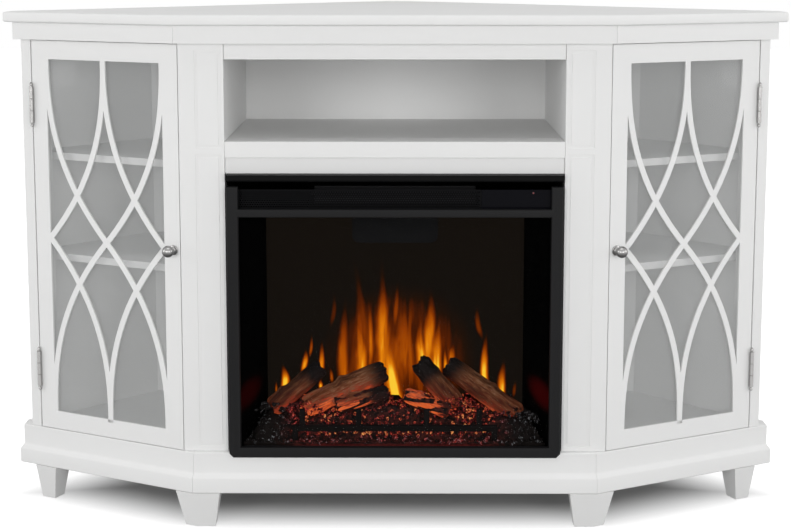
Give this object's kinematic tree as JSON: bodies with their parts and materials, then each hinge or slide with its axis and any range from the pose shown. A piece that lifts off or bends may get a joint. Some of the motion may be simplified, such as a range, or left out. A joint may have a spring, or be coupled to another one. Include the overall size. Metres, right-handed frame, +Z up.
{
  "type": "corner fireplace tv stand",
  "caption": "Corner TV stand with an electric fire and open niche in the middle, a glazed fretwork door on each wing, and a moulded base on short tapered legs.",
  "frame": {"origin": "middle of the bounding box in plan, on the floor under the legs", "axes": "+Z up, the straight middle of the front faces -Y, +X to the right seen from the front"},
  "size_m": [1.4, 0.883, 0.905],
  "materials": {
    "white_paint": "satin white paint on board",
    "door_glass": "clear flat glass",
    "satin_nickel": "satin nickel",
    "catch_case": "matte white",
    "black_steel": "satin black powder coat",
    "black_plastic": "gloss black",
    "fire_glass": "lightly tinted flat glass",
    "ember_resin": "moulded coals that glow orange and red from below",
    "log_resin": "charred bark",
    "zinc_steel": "bare sheet"
  },
  "bodies": {
    "cabinet": {"top_slab": "white_paint", "frieze_front": "white_paint", "frieze_right": "white_paint", "frieze_left": "white_paint", "base_front": "white_paint", "base_right": "white_paint", "base_left": "white_paint", "floor_panel": "white_paint", "right_back": "white_paint", "left_back": "white_paint", "rear_post": "white_paint", "partition": "white_paint", "right_divider": "white_paint", "left_divider": "white_paint", "right_outer_stile": "white_paint", "left_outer_stile": "white_paint", "right_pilaster": "white_paint", "left_pilaster": "white_paint", "top_rail": "white_paint", "niche_lip": "white_paint", "niche_shelf": "white_paint", "fire_lintel": "white_paint", "right_upper_shelf": "white_paint", "right_lower_shelf": "white_paint", "left_upper_shelf": "white_paint", "left_lower_shelf": "white_paint", "right_front_leg": "white_paint", "right_outer_leg": "white_paint", "left_front_leg": "white_paint", "left_outer_leg": "white_paint", "rear_leg": "white_paint", "right_upper_hinge": "satin_nickel", "right_lower_hinge": "satin_nickel", "left_upper_hinge": "satin_nickel", "left_lower_hinge": "satin_nickel", "right_catch": "catch_case", "left_catch": "catch_case", "fire_casing": "black_steel", "fire_trim": "black_steel", "fire_hood": "black_steel", "vent_grille": "black_steel", "control_panel": "black_plastic", "fire_glass": "fire_glass", "flame_screen": "black_steel", "rear_left_log": "log_resin", "front_left_log": "log_resin", "rear_right_log": "log_resin", "front_right_log": "log_resin", "ember_bed": "ember_resin", "log_grate": "black_steel", "blower_housing": "black_steel", "power_inlet": "black_plastic"},
    "right_door": {"right_door": "white_paint", "right_door_glass": "door_glass", "right_door_knob": "satin_nickel"},
    "left_door": {"left_door": "white_paint", "left_door_glass": "door_glass", "left_door_knob": "satin_nickel"},
    "flicker_rod": {"flicker_rod": "zinc_steel"},
    "blower_wheel": {"blower_wheel": "black_plastic"}
  },
  "joints": [
    {"name": "right_door_hinge", "type": "hinge", "parent": "cabinet", "child": "right_door", "pos_m": [0.65506, -0.27607, 0.497], "axis": [0, 0, 1], "range_deg": [0, 110]},
    {"name": "left_door_hinge", "type": "hinge", "parent": "cabinet", "child": "left_door", "pos_m": [-0.65506, -0.27607, 0.497], "axis": [0, 0, -1], "range_deg": [0, 110]},
    {"name": "flicker_rod_spin", "type": "hinge", "parent": "cabinet", "child": "flicker_rod", "pos_m": [0, -0.2465, 0.1958], "axis": [1, 0, 0], "continuous": true},
    {"name": "blower_wheel_spin", "type": "hinge", "parent": "cabinet", "child": "blower_wheel", "pos_m": [0, -0.3385, 0.5877], "axis": [1, 0, 0], "continuous": true}
  ]
}
